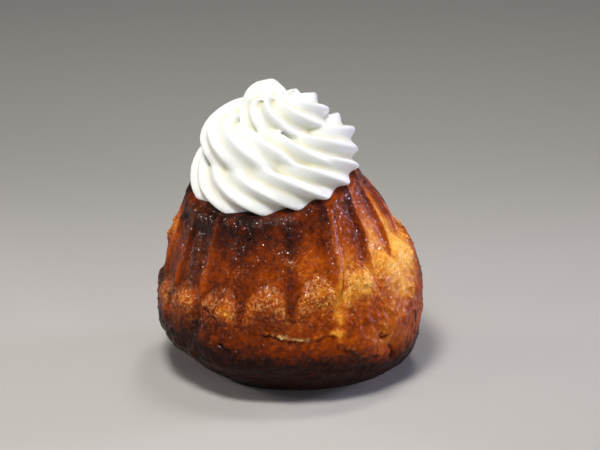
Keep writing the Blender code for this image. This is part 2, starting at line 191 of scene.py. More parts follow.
# How dark the skin is, from 0, golden, to 1, nearly black. It is paler on the right, partly from baking
# and partly as painted light that falls brighter on the right.
MOULD_BAKE, MOULD_LESS_RIGHT = 0.75, 0.44
DOUGH_BAKE, DOUGH_LESS_RIGHT = 0.87, 0.5
BLOTCH_SIZE, PATCH_SIZE, FLECK_SIZE = 9.0, 3.5, 1.5
TOP_MORE, TOP_MORE_REACH = 0.27, 15.0  # baked more round the top
FOOT_DARKER, FOOT_DARKER_FROM, FOOT_DARKER_FULL = 0.62, 22.0, 9.0  # darker low down: browning and painted shade
SIDE_MORE, SIDE_MORE_FROM, SIDE_MORE_FULL = 0.25, 67.0, 81.0  # and round these degrees on the right
PALEST_AT, PALEST_REACH = -3.0, 6.0  # degrees at which the torn lip shows most crumb
SYRUP_RAN_AT, SYRUP_RAN_REACH = 60.0, 28.0  # degrees at which most syrup ran down
COLUMNS, RING_GAP = FLUTES * 35, 0.425
END_RINGS = (0.75, 0.4)  # rings on the two flat ends, as shares of their radius
# Sizes of what the crust's material shows.
MOTTLE, FIBRE, PEBBLE, BLISTER, WET_PATCH = 2.4, 0.9, 1.6, 0.32, 1.5
FACET_TIP = 0.7  # how far the film on a blister tips


def smooth(low, high, value):
    """0 at low, 1 at high and beyond, and a smooth run between; low may be the larger."""
    share = np.clip((value - low) / (high - low), 0.0, 1.0)
    return share * share * (3.0 - 2.0 * share)


def bell(offset, reach):
    return np.exp(-((offset / reach) ** 2))


def grain(places, size, seed=0.0):
    """Even noise from about -1 to 1, in lumps of this size: one number, or three where it is stretched."""
    flat = (places / np.asarray(size) + seed).reshape(-1, 3).tolist()
    return np.fromiter((noise.noise(p) for p in flat), float, len(flat)).reshape(places.shape[:-1])


def layered(places, layers):
    """Noise of several sizes added up: each layer is a share, the size of its lumps and a seed."""
    return sum(share * grain(places, size, seed) for share, size, seed in layers)


def flank_radius(height):
    """Radius over the ribs, on a smooth curve through the named stations (Hermite)."""
    places, values = np.array(FLANK_HEIGHTS), np.array(FLANK_RADII)
    last = len(places) - 1
    ends = [(max(k - 1, 0), min(k + 1, last)) for k in range(last + 1)]
    bend = np.array([(values[b] - values[a]) / (places[b] - places[a]) for a, b in ends])
    i = np.clip(np.searchsorted(places, height, side="right") - 1, 0, last - 1)
    run = places[i + 1] - places[i]
    t = (height - places[i]) / run
    return (
        values[i] * (2 * t**3 - 3 * t**2 + 1)
        + bend[i] * run * (t**3 - 2 * t**2 + t)
        + values[i + 1] * (3 * t**2 - 2 * t**3)
        + bend[i + 1] * run * (t**3 - t**2)
    )


def off_path(path, angle, z, girth):
    """Distance from a line drawn on the cake, and the height of the nearest point of the line."""
    nearest, level = np.full(angle.shape, 1e3), z.copy()
    for (a0, z0), (a1, z1) in zip(path, path[1:]):
        turn = (np.degrees(angle) - a0 + 180.0) % 360.0 - 180.0
        across, rise = np.radians(turn) * girth, z - z0
        run_across, run_rise = math.radians(a1 - a0) * girth, z1 - z0
        share = np.clip((across * run_across + rise * run_rise) / (run_across**2 + run_rise**2), 0.0, 1.0)
        away = np.hypot(across - share * run_across, rise - share * run_rise)
        level = np.where(away < nearest, z0 + run_rise * share, level)
        nearest = np.minimum(nearest, away)
    return nearest, level


def near(place, degrees, z, girth):
    """1 at a named place on the cake, fading out over its half width and half height."""
    across = np.radians((degrees - place[0] + 180.0) % 360.0 - 180.0) * girth
    return np.exp(-((across / place[2]) ** 2) - ((z - place[1]) / place[3]) ** 2)


def cake_skin():
    """Points of the whole skin on a grid of rings and columns, and what the baking did at each of them."""
    lower, upper = FLANK_HEIGHTS[2], FLANK_HEIGHTS[-1]
    rings = round((upper - lower) / RING_GAP)
    height = np.concatenate([FLANK_HEIGHTS[:2], np.linspace(lower, upper, rings + 1)])[:, None]
    column = np.linspace(0.0, 2 * math.pi, COLUMNS, endpoint=False)[None, :]

    even = column + FRONT_RIB
    lean = RIB_LEAN * (np.maximum(height, RIB_FOOT) - RIB_LEAN_MIDDLE) / RIB_LEAN_RISE
    direction = even + RIB_SPREAD * np.sin(2 * even) + lean * (1 + np.sin(even)) / 2
    tilt = smooth(TILT_STARTS, TILT_FULL, height)
    outward = np.stack([np.sin(direction), -np.cos(direction)], -1)
    climb = np.tan(TILT_LEFT * tilt) * outward[..., 0] + np.tan(TILT_FORWARD * tilt) * outward[..., 1]
    outward = np.concatenate([outward, climb[..., None]], -1)
    radius = flank_radius(height) + BULGE * bell(height - BULGE_HEIGHT, BULGE_REACH) * outward[..., 0]
    share = height / CAKE_HEIGHT
    middle = np.stack([TOP_SHIFT[0] * share, TOP_SHIFT[1] * share, height * UPRIGHT], -1)
    skin = middle + outward * radius[..., None]
    z = skin[..., 2]
    angle = np.arctan2(skin[..., 0], MARKS_AXIS - skin[..., 1])
    girth = np.hypot(skin[..., 0], MARKS_AXIS - skin[..., 1])
    degrees = np.degrees(angle)
    to_top = CAKE_HEIGHT - height + 0.0 * z

    # The mould's ribs and panels, down to the crust's ragged edge.
    stray = RIB_STRAY * grain(skin, STRAY_SIZE, 61.0)
    off = 2.0 * ((column * FLUTES / (2 * math.pi) + stray) % 1.0) - 1.0
    hollow = 1.0 - smooth(1.0 - RIB_SHARE, 1.0, abs(off))
    hollow = hollow * (1 - RIBS_FAINT * bell(degrees - RIBS_FAINT_AT, RIBS_FAINT_REACH))
    hollow = hollow * smooth(0.0, ARCH_RUN, to_top - ARCH_TOP + ARCH_RUN - ARCH_DROP * off * off)
    around = np.stack([np.sin(angle), np.cos(angle), 0.0 * angle], -1)
    ragged = layered(skin, RAGGED)
    end = CRUST_END + CRUST_END_RISE * np.sin(angle) + CRUST_END_WANDER * grain(around, 1 / CRUST_END_WAVES)
    tongue = TONGUE * bell(degrees - TONGUES_LONGEST_AT, TONGUES_REACH)
    end = end - tongue * smooth(1.0 - TONGUE_SHARE, 1.0, abs(off)) + ARCH_RISE * (0.5 - abs(off))
    scoop = PANEL_DEPTH * hollow
    crust = smooth(-0.25, 0.3, z - end + ragged)
    below = PUFF * (1 - off * off) * bell(end - PUFF_DROP - z, PUFF_REACH)
    below = below - (scoop + LEDGE) * bell(end - z, LEDGE_FADE)
    relief = (1 - crust) * below - crust * scoop

    # The dough that rose out of the mould: swellings, tears whose upper side lifted, furrows and cracks.
    dough = 1.0 - smooth(-DOUGH_FADE, 0.0, z - end)
    round_axis = np.stack([girth * np.sin(angle), girth * np.cos(angle), z], -1)
    free = layered(round_axis, LUMPS)
    across, up = layered(skin, SHAKEN_ACROSS), layered(skin, SHAKEN_UP)

    def lines(paths, width):
        """For each of these lines on the dough, 1 along it and 0 away from it, with the wander of torn dough."""
        return [bell(off_path(path, angle + across / girth, z + up, girth)[0], width) for path in paths]

    frayed = 0.25 * grain(skin, 0.8, 51.0)
    whole = grain(skin, 1.6, 43.0) + 0.35 * bell(degrees - LIP_WHOLE_AT, LIP_WHOLE_REACH)
    whole = smooth(-0.1, 0.4, whole + 0.45 * grain(skin, 0.9, 47.0) - 0.1)
    gaping = smooth(-0.35, 0.2, grain(skin, 2.6, 45.0))
    torn_edge, crevice = np.zeros_like(z), np.zeros_like(z)
    for path in TEARS:
        away, level = off_path(path, angle, z, girth)
        drop = z - level + across + frayed
        free += TEAR_LIFT * smooth(-0.3, 0.45, drop) * bell(away, TEAR_REACH)
        reached = bell(np.maximum(away - TEAR_NEAR, 0.0), TEAR_NEAR)
        torn_edge = np.maximum(torn_edge, bell(drop - LIP_ABOVE, LIP_WIDTH) * reached * whole)
        crevice = np.maximum(crevice, bell(drop + CREVICE_BELOW, CREVICE_WIDTH) * reached * gaping)
    for furrow in lines(FURROWS, FURROW_WIDTH):
        free -= FURROW_DEPTH * furrow
    fold = np.maximum.reduce(lines(FOLDS, FOLD_WIDTH))
    free += FOLD_RISE * fold
    split = np.maximum.reduce(lines(CRACKS, CRACK_WIDTH))
    free -= CRACK_DEPTH * split + CREVICE_DEPTH * crevice
    free += LIP_RISE * torn_edge
    relief += free * dough * smooth(CALM_FOOT, CALM_FOOT_TOP, z)

    # Grain of the surface: a mould-smooth crust with small blisters, and an open pebbly skin on the puffed dough.
    puffed = smooth(1.5, -2.0, z - end + 2.0 * ragged) * bell(end - OPEN_DROP - z, OPEN_REACH)
    puffed *= 1 - 0.8 * smooth(0.6, 1.0, abs(off))
    hidden = smooth(PUFFS_FEWER_FROM, PUFFS_FEWEST_FROM, abs(degrees))
    puffed *= 1 - PUFFS_FEWER * hidden * smooth(-0.3, 0.1, grain(around, 0.4, 67.0))
    coarse, creased = grain(skin, COARSE, 19.0), grain(skin, CREASED, 29.0)
    fine, finer = grain(skin, FINE, 21.0), grain(skin, FINER, 23.0)
    relief += crust * (CRUST_COARSE * coarse + CRUST_FINE * fine + CRUST_FINER * finer)
    relief += (1 - crust) * (DOUGH_FINE * fine + DOUGH_FINER * finer + DOUGH_CREASED * creased)
    relief += puffed * (PUFF_FINE * abs(fine) + PUFF_FINER * abs(finer))
    for place in SWELLINGS:
        relief += place[4] * near(place, degrees, z, girth) * (1 + 0.4 * fine)
    relief *= smooth(0.0, 2.0, z)
    points = skin + outward * relief[..., None]
    marks = {
        "height": z, "degrees": degrees, "to_top": to_top, "off": off + 0.0 * z, "end": end, "crust": crust,
        "puffed": puffed, "torn_edge": torn_edge * dough, "crevice": crevice * dough, "split": split * dough,
        "fold": fold * dough, "skin": skin,
    }
    return points, marks


def baked(m):
    """How dark each point of the skin is, from 0, golden, to 1, nearly black, mostly from baking with painted shade and
    painted light worked in, how much pale crumb shows there, how open its skin is, how much syrup stands on it, and how
    thick crusty grains lie."""
    degrees, z, crust, off = m["degrees"], m["height"], m["crust"], m["off"]
    blotch = grain(m["skin"], BLOTCH_SIZE, 31.0)
    patch = grain(m["skin"], PATCH_SIZE, 37.0)
    fleck = grain(m["skin"], FLECK_SIZE, 41.0)
    uneven = 0.08 * blotch + 0.10 * patch + 0.08 * fleck
    right = 0.5 + 0.5 * np.sin(np.radians(degrees))
    front = bell(degrees - RIBS_FAINT_AT, RIBS_FAINT_REACH)
    behind = smooth(75.0, 115.0, abs(degrees))
    on_rib = smooth(0.55, 1.0, abs(off))
    crest = smooth(0.64, 1.0, abs(off)) * crust * (0.75 + 0.9 * fleck)
    shaded_side = smooth(-0.3, 0.75, off) * (1 - smooth(0.85, 1.0, off))  # side of each rib with painted shade

    # The mould's crust: darker round the top, with painted shade on one side of each rib and a painted highlight on
    # their crests, and paler behind. The panels' ends are paler on the right and darker on the left.
    mould = MOULD_BAKE - MOULD_LESS_RIGHT * right**1.3 + uneven
    mould += (TOP_MORE - 0.07 * right) * smooth(TOP_MORE_REACH, 1.0, m["to_top"] + 2.5 * blotch)
    # Painted shade on one side of each rib on the right, and a painted highlight on the crests, most on the left.
    ribs = right * (0.38 * shaded_side - 0.08) - 0.2 * (1 - 0.6 * right) * crest
    mould += (1 - front) * ribs + 0.12 * front * on_rib
    mould += (0.08 - 0.24 * right) * (1 - on_rib) * smooth(9.0, 0.0, z - m["end"] + 2.0 * patch)
    mould -= 0.1 * behind

    # The dough: paler on the puffs, darker under the front's tongues of crust, and darkest towards the foot.
    dough = DOUGH_BAKE - DOUGH_LESS_RIGHT * right**1.2 + uneven
    dough -= 0.18 * m["puffed"]
    dough += 0.18 * front * on_rib * bell(m["end"] - z, 4.0)
    dough -= 0.2 * behind * (1 - right)
    # Darker towards the foot: partly browning, partly painted shade of the underside.
    low = smooth(FOOT_DARKER_FROM - 6.0 * right, FOOT_DARKER_FULL - 3.5 * right, z + 2.0 * blotch + 1.2 * patch)
    dough += (FOOT_DARKER - 0.25 * behind) * low

    blend = smooth(-3.0, 2.0, z - m["end"] + 2.5 * patch + 1.8 * blotch)
    side = smooth(SIDE_MORE_FROM, SIDE_MORE_FULL, degrees) * (1 - 0.75 * smooth(88.0, 125.0, degrees))
    bake_and_painted_light = blend * mould + (1 - blend) * dough + SIDE_MORE * side
    girth = np.hypot(m["skin"][..., 0], m["skin"][..., 1] - MARKS_AXIS)
    for place in SPOTS:
        bake_and_painted_light += place[4] * near(place, degrees, z, girth) ** (1.0 + 0.35 * patch)
    # Cracks and the crevice under each torn lip are painted darker as shade; the torn lips are paler crumb.
    bake_and_painted_light += 0.35 * m["split"] + 0.2 * m["crevice"] - 0.22 * m["torn_edge"]
    pale = 0.9 * m["torn_edge"] * smooth(-0.05, 0.5, 1.3 * fleck + 0.45 * bell(degrees - PALEST_AT, PALEST_REACH))

    # Syrup stands round the top, where it ran down, and on all that is raised.
    knobs = sum(near(place, degrees, z, girth) for place in SWELLINGS if place[2] < KNOB_WIDTH)
    film = 0.4 * smooth(9.0, 16.0, z) + 0.15 * smooth(20.0, 32.0, z) + 0.5 * smooth(22.0, 6.0, m["to_top"])
    film += (0.4 + 0.6 * right) * crest + 0.6 * m["puffed"] + 0.3 * front * on_rib * crust + 0.7 * m["fold"]
    film += 0.35 * bell(degrees - SYRUP_RAN_AT, SYRUP_RAN_REACH) * smooth(12.0, 20.0, z) + 0.8 * knobs

    grains = 0.8 * m["puffed"] * smooth(-0.4, 0.3, patch) + m["torn_edge"] + knobs + 0.02 * smooth(9.0, 16.0, z)
    grains *= smooth(1.5, 3.0, m["to_top"])
    open_skin = np.maximum(m["puffed"], 0.8 * knobs) * (1 - 0.7 * smooth(0.5, 0.75, bake_and_painted_light))
    open_skin *= 0.55 + 0.45 * smooth(-0.3, 0.2, patch)
    return [np.clip(values, 0.0, 1.0) for values in (bake_and_painted_light, pale, open_skin, film, grains)]


def grid_mesh(name, points, middles):
    """A closed mesh from rings of points, bottom first, with a middle point for each end."""
    rings, columns = points.shape[:2]
    mesh = bpy.data.meshes.new(name)
    ring, column = np.meshgrid(np.arange(rings - 1), np.arange(columns), indexing="ij")
    following = (column + 1) % columns
    low, high = ring * columns, (ring + 1) * columns
    quads = np.stack([low + column, low + following, high + following, high + column], -1).reshape(-1, 4)
    first, last = rings * columns, rings * columns + 1
    around, onward = np.arange(columns), (np.arange(columns) + 1) % columns
    top = (rings - 1) * columns
    under = np.stack([onward, around, np.full(columns, first)], -1)
    over = np.stack([top + around, top + onward, np.full(columns, last)], -1)
    vertices = np.concatenate([points.reshape(-1, 3), middles])
    mesh.from_pydata((vertices * MM).tolist(), [], [*quads.tolist(), *under.tolist(), *over.tolist()])
    mesh.shade_smooth()
    return mesh


def add_piece(name, mesh, finish):
    made = bpy.data.objects.new(name, mesh)
    bpy.context.scene.collection.objects.link(made)
    mesh.materials.clear()
    mesh.materials.append(finish)
    return made


def store(mesh, name, values):
    """A number for each point of the mesh, for its material or for what is strewn on it."""
    mesh.attributes.new(name, "FLOAT", "POINT").data.foreach_set("value", np.asarray(values, np.float32).ravel())


def add_node(tree, kind, feeds=(), **settings):
    """Adds a node with its settings. Each feed is an input's name or number, and a value or what is linked to it."""
    made = tree.nodes.new(kind)
    for name, value in settings.items():
        setattr(made, name, value)
    for key, value in dict(feeds).items():
        if isinstance(value, bpy.types.NodeSocket):
            tree.links.new(value, made.inputs[key])
        else:
            made.inputs[key].default_value = value
    return made


def linear(colour):
    """A colour given as sRGB hex, turned linear."""
    parts = [int(colour[k : k + 2], 16) / 255 for k in (1, 3, 5)]
    return (*[p / 12.92 if p <= 0.04045 else ((p + 0.055) / 1.055) ** 2.4 for p in parts], 1.0)


def soaked_crust():
    """Browned yeast crust under a film of rum syrup: its colour runs from golden crumb to nearly black with the baking,
    with painted shade and light worked in, and the film, which follows every pore, gives it a sparkle of small
    highlights."""
    made = bpy.data.materials.new("syrup_soaked_crust")
    made.use_nodes = True
    tree = made.node_tree
    shader = tree.nodes["Principled BSDF"]
    place = add_node(tree, "ShaderNodeTexCoord").outputs["Object"]
    bake_and_painted_light, pale, open_skin, film = (
        add_node(tree, "ShaderNodeAttribute", attribute_name=name).outputs["Fac"]
        for name in ("bake_and_painted_light", "pale", "open_skin", "film")
    )
    # Toasting is uneven in patches, and from fibre to fibre of the dough.
    mottle = add_node(
        tree, "ShaderNodeTexNoise", {"Vector": place, "Scale": 1 / (MOTTLE * MM), "Detail": 3.0, "Roughness": 0.55}
    )
    uneven = add_node(tree, "ShaderNodeMath", {0: mottle.outputs["Fac"], 1: 0.36, 2: -0.18}, operation="MULTIPLY_ADD")
    fibres = add_node(
        tree, "ShaderNodeTexNoise",
        {"Vector": place, "Scale": 1 / (FIBRE * MM), "Detail": 3.0, "Roughness": 0.7, "Distortion": 0.3},
    )
    fibre = add_node(tree, "ShaderNodeMath", {0: fibres.outputs["Fac"], 1: 0.5}, operation="SUBTRACT")
    grainy = add_node(
        tree, "ShaderNodeMath", {0: fibre.outputs[0], 1: 0.5, 2: uneven.outputs[0]}, operation="MULTIPLY_ADD"
    )
    shade = add_node(tree, "ShaderNodeMath", {0: bake_and_painted_light, 1: grainy.outputs[0]}, operation="ADD")
    browning = add_node(tree, "ShaderNodeValToRGB", {"Fac": shade.outputs[0]})
    stops = (
        (0.0, "#f2b450"), (0.2, "#de942e"), (0.35, "#c06810"), (0.5, "#a24500"),
        (0.62, "#843400"), (0.75, "#642402"), (0.87, "#441809"), (1.0, "#1e0b06"),
    )
    ramp = browning.color_ramp
    for position, colour in stops[1:-1]:
        ramp.elements.new(position)
    for element, (position, colour) in zip(ramp.elements, stops):
        element.position, element.color = position, linear(colour)
    # On the puffs the skin burst, so that specks of pale crumb show.
    burst = add_node(
        tree, "ShaderNodeMapRange", {"Value": fibres.outputs["Fac"], "From Min": 0.52, "From Max": 0.27, "To Max": 0.65}
    )
    showing = add_node(
        tree, "ShaderNodeMath", {0: burst.outputs[0], 1: open_skin, 2: pale}, operation="MULTIPLY_ADD", use_clamp=True
    )
    crumb = add_node(
        tree, "ShaderNodeMix",
        {"Factor": showing.outputs[0], 6: browning.outputs["Color"], 7: linear("#fddc8e")}, data_type="RGBA",
    )
    tree.links.new(crumb.outputs[2], shader.inputs["Base Color"])
    pebbles = add_node(tree, "ShaderNodeTexNoise", {"Vector": place, "Scale": 1 / (PEBBLE * MM), "Detail": 1.0})
    bump = add_node(tree, "ShaderNodeBump", {"Height": pebbles.outputs["Fac"], "Strength": 1.0, "Distance": 0.3 * MM})
    tree.links.new(bump.outputs["Normal"], shader.inputs["Normal"])
    # The film lies over tiny burst blisters, so that it shines in small facets, each tipped its own way.
    facets = add_node(tree, "ShaderNodeTexVoronoi", {"Vector": place, "Scale": 1 / (BLISTER * MM)})
    tip = add_node(tree, "ShaderNodeVectorMath", {0: facets.outputs["Color"], 1: (0.5, 0.5, 0.5)}, operation="SUBTRACT")
    tipped = add_node(
        tree, "ShaderNodeVectorMath",
        {0: tip.outputs[0], 1: (FACET_TIP,) * 3, 2: bump.outputs["Normal"]}, operation="MULTIPLY_ADD",
    )
    facet = add_node(tree, "ShaderNodeVectorMath", {0: tipped.outputs[0]}, operation="NORMALIZE")
    tree.links.new(facet.outputs[0], shader.inputs["Coat Normal"])
    # The film stands in small patches; elsewhere the crust has drunk it.
    patches = add_node(tree, "ShaderNodeTexNoise", {"Vector": place, "Scale": 1 / (WET_PATCH * MM), "Detail": 2.0})
    standing = add_node(
        tree, "ShaderNodeMapRange", {"Value": patches.outputs["Fac"], "From Min": 0.38, "From Max": 0.56, "To Min": 0.1}
    )
    wet = add_node(tree, "ShaderNodeMath", {0: film, 1: standing.outputs[0]}, operation="MULTIPLY")
    # Some facets are smoother than others, so that few glint and many only shine a little.
    chance = add_node(tree, "ShaderNodeTexWhiteNoise", {"Vector": facets.outputs["Color"]})
    smoother = add_node(
        tree, "ShaderNodeMapRange", {"Value": chance.outputs["Value"], "From Min": 0.4, "From Max": 0.9, "To Min": 0.05}
    )
    glint = add_node(tree, "ShaderNodeMath", {0: wet.outputs[0], 1: smoother.outputs[0]}, operation="MULTIPLY")
    tree.links.new(glint.outputs[0], shader.inputs["Coat Weight"])
    shader.inputs["Roughness"].default_value = 0.45
    shader.inputs["Specular IOR Level"].default_value = 0.08
    shader.inputs["Coat Roughness"].default_value = 0.15
    shader.inputs["Coat IOR"].default_value = 1.49  # a thick sugar syrup
    shader.inputs["Subsurface Weight"].default_value = 0.06
    shader.inputs["Subsurface Radius"].default_value = (1.0, 0.38, 0.12)
    shader.inputs["Subsurface Scale"].default_value = 1.6 * MM
    return made


skin_points, marks = cake_skin()
rim, foot = skin_points[-1], skin_points[0]
top_middle, foot_middle = rim.mean(0), foot.mean(0)
rows = [foot_middle + (foot - foot_middle) * share for share in reversed(END_RINGS)]
rows += list(skin_points)
rows += [top_middle + (rim - top_middle) * share for share in END_RINGS]
cake_mesh = grid_mesh("baba_cake", np.array(rows), np.array([foot_middle, top_middle]))
bake_and_painted_light, pale, open_skin, film, grains = baked(marks)


def over_ends(values, at_foot, at_top):
    """Values of the flank, with one value each for the hidden foot and the top under the cream."""
    below, above = [np.full(COLUMNS, at_foot)] * len(END_RINGS), [np.full(COLUMNS, at_top)] * len(END_RINGS)
    return np.concatenate([*below, *values, *above, [at_foot, at_top]])


for name, values, at_foot, at_top in (
    ("bake_and_painted_light", bake_and_painted_light, 0.95, 0.9), ("pale", pale, 0.0, 0.0), ("open_skin", open_skin, 0.0, 0.0), ("film", film, 0.0, 0.3)
):
    store(cake_mesh, name, over_ends(values, at_foot, at_top))
cake = add_piece("baba_cake", cake_mesh, soaked_crust())
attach(cake, "root")
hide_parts("baba")

# ---------------------------------------------------------------- the grains of crust
# Where the dough burst, crusty grains about half a millimetre wide stand out of the skin with syrup on them. They
# are strewn over the puffs, knobs and torn edges, half sunk, and baked a little less than the skin round them.
GRAIN_GAP, GRAINS_MOST = 0.42, 3.6  # least distance, and the most for each square millimetre
GRAIN_SMALLEST, GRAIN_LARGEST = (0.3, 0.25, 0.2), (0.9, 0.7, 0.5)  # length, width and thickness
LESS_BAKED, GRAIN_FILM = 0.3, 0.95  # at most, and how much syrup stands on a grain
GRAIN_SEED = 4


def new_tree(name, inputs):
    """A geometry tree with these named inputs, and its two ends."""
    tree = bpy.data.node_groups.new(name, "GeometryNodeTree")
    tree.interface.new_socket("Geometry", in_out="OUTPUT", socket_type="NodeSocketGeometry")
    tree.interface.new_socket("Geometry", in_out="INPUT", socket_type="NodeSocketGeometry")
    for label, kind in inputs:
        tree.interface.new_socket(label, in_out="INPUT", socket_type=kind)
    return tree, tree.nodes.new("NodeGroupInput").outputs, tree.nodes.new("NodeGroupOutput")


def end_tree(tree, geometry, finish, last):
    """Ends a tree in Realize Instances and Set Material."""
    real = add_node(tree, "GeometryNodeRealizeInstances", {"Geometry": geometry})
    dressed = add_node(tree, "GeometryNodeSetMaterial", {"Geometry": real.outputs[0], "Material": finish})
    tree.links.new(dressed.outputs[0], last.inputs[0])


def use_tree(piece, tree, values):
    """Puts a tree on a piece, with its named inputs set by their identifiers."""
    modifier = piece.modifiers.new(tree.name, "NODES")
    modifier.node_group = tree
    for item in tree.interface.items_tree:
        if item.item_type == "SOCKET" and item.in_out == "INPUT" and item.name in values:
            modifier[item.identifier] = values[item.name]


def strewn_grains(finish):
    """Small grains on a skin, as many as its "grains" attribute asks for at each place."""
    tree, given, last = new_tree(
        "strewn_grains",
        [("Gap", "NodeSocketFloat"), ("Most", "NodeSocketFloat"), ("Smallest", "NodeSocketVector"),
         ("Largest", "NodeSocketVector"), ("Less Baked", "NodeSocketFloat"), ("Seed", "NodeSocketInt")],
    )
    share, bake_and_painted_light = (
        add_node(tree, "GeometryNodeInputNamedAttribute", {"Name": name}, data_type="FLOAT").outputs["Attribute"]
        for name in ("grains", "bake_and_painted_light")
    )
    spread = add_node(
        tree, "GeometryNodeDistributePointsOnFaces",
        {"Mesh": given["Geometry"], "Distance Min": given["Gap"], "Density Max": given["Most"],
         "Density Factor": share, "Seed": given["Seed"]},
        distribute_method="POISSON",
    )
    less = add_node(
        tree, "FunctionNodeRandomValue", {"Max": given["Less Baked"], "Seed": given["Seed"]}, data_type="FLOAT"
    )
    lighter = add_node(tree, "ShaderNodeMath", {0: bake_and_painted_light, 1: less.outputs[1]}, operation="SUBTRACT")
    coloured = add_node(
        tree, "GeometryNodeStoreNamedAttribute",
        {"Geometry": spread.outputs["Points"], "Name": "bake_and_painted_light", "Value": lighter.outputs[0]},
        data_type="FLOAT", domain="POINT",
    )
    wet = add_node(
        tree, "GeometryNodeStoreNamedAttribute",
        {"Geometry": coloured.outputs[0], "Name": "film", "Value": GRAIN_FILM}, data_type="FLOAT", domain="POINT",
    )
    size = add_node(
        tree, "FunctionNodeRandomValue", {0: given["Smallest"], 1: given["Largest"], "Seed": given["Seed"]},
        data_type="FLOAT_VECTOR",
    )
    turn = add_node(
        tree, "FunctionNodeRandomValue", {1: (2 * math.pi,) * 3, "Seed": given["Seed"]}, data_type="FLOAT_VECTOR"
    )
    grain_form = add_node(tree, "GeometryNodeMeshIcoSphere", {"Radius": 0.5, "Subdivisions": 1})
    strewn = add_node(
        tree, "GeometryNodeInstanceOnPoints",
        {"Points": wet.outputs[0], "Instance": grain_form.outputs["Mesh"], "Rotation": turn.outputs[0],
         "Scale": size.outputs[0]},
    )
    end_tree(tree, strewn.outputs[0], finish, last)
    return tree


crust_finish = cake.data.materials[0]
store(cake_mesh, "grains", over_ends(grains, 0.0, 0.0))
strewing = add_piece("strewing", cake_mesh.copy(), crust_finish)
use_tree(
    strewing,
    strewn_grains(crust_finish),
    {
        "Gap": GRAIN_GAP * MM,
        "Most": GRAINS_MOST / MM**2,
        "Smallest": Vector(GRAIN_SMALLEST) * MM,
        "Largest": Vector(GRAIN_LARGEST) * MM,
        "Less Baked": LESS_BAKED,
        "Seed": GRAIN_SEED,
    },
)
grains_mesh = bpy.data.meshes.new_from_object(strewing.evaluated_get(bpy.context.evaluated_depsgraph_get()))
bpy.data.objects.remove(strewing)
cake_mesh.attributes.remove(cake_mesh.attributes["grains"])
grains_mesh.name = "crust_grains"
crust_grains = add_piece("crust_grains", grains_mesh, crust_finish)
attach(crust_grains, "root")

# ---------------------------------------------------------------- the cream
# Whipped cream piped on from a bag with a star nozzle: one rope of seven ridges, laid upright in a rising coil that
# runs clockwise from above and lifted off to a peak. Where its turns touch, the soft cream has grown together.
STAR_POINTS, POINTS_PER_RIDGE = 7, 12
RIDGE_SHARE, VALLEY_POWER = 0.29, 1.5  # valley depth as a share of the rope's radius, and how narrow valleys are
ROPE_START = math.radians(20)
TWIST_AT_START, TWIST_AT_END = 1.95, 0.95  # turns of the ridges round the rope for each turn of the coil
# At each quarter turn: radius of the coil, height over the middle of the cake's top, and radius of the rope.
COIL_RADII = (16.2, 15.0, 14.6, 14.8, 16.2, 10.8, 12.7, 9.0, 8.8, 4.8, 2.2, 0.3)
ROPE_HEIGHTS = (4.2, 1.2, -1.0, 5.0, 8.2, 7.6, 10.4, 13.2, 15.6, 16.4, 19.2, 27.2)
ROPE_RADII = (7.8, 8.8, 8.5, 8.4, 8.1, 8.2, 8.0, 7.6, 7.6, 8.0, 7.6, 6.2)
PEAK_STARTS, PEAK_THINS = 0.91, 0.98
COIL_MIDDLE = Vector((1.0, 1.5, 0.0))
CORE_FOOT_RADIUS, CORE_TOP_RADIUS, CORE_FOOT, CORE_TOP = 13.0, 4.0, -9.0, 19.0
PRESSED_PLACE, PRESSED_REACH = Vector((-13.0, -14.0, 12.0)), 17.0  # the front left was smeared by the nozzle
SOFTENING, PRESSING, CREASE_REACH = 3, 40, 40  # rounds of smoothing
DEEP_CREASE, DEEPEST_CREASE, CREASE_FILLED = 0.4, 1.2, 0.8  # cream has filled this share of the deepest creases
CREASE_SHADE_DEPTH = 1.4  # depth at which the painted crease shade is fullest
ROPE_STEPS = 360
CREAM_VOXEL = 0.36
SUNK = 0.15  # the cream's underside below the cake's top
COIL_TURNS = (len(COIL_RADII) - 1) / 4.0


def through(values, share):
    """A smooth curve through evenly spaced values, read at share 0 to 1 (Catmull-Rom)."""
    place = min(max(share, 0.0), 1.0) * (len(values) - 1)
    i = min(int(place), len(values) - 2)
    t = place - i
    p = [values[min(max(i + k, 0), len(values) - 1)] for k in (-1, 0, 1, 2)]
    return 0.5 * (
        2 * p[1]
        + (p[2] - p[0]) * t
        + (2 * p[0] - 5 * p[1] + 4 * p[2] - p[3]) * t**2
        + (3 * p[1] - p[0] - 3 * p[2] + p[3]) * t**3
    )


def outward_at(share):
    turned = ROPE_START - 2 * math.pi * COIL_TURNS * share
    return Vector((math.cos(turned), math.sin(turned), 0.0))


def rope_middle(share):
    middle = COIL_MIDDLE + outward_at(share) * through(COIL_RADII, share)
    middle.z = through(ROPE_HEIGHTS, share)
    return middle


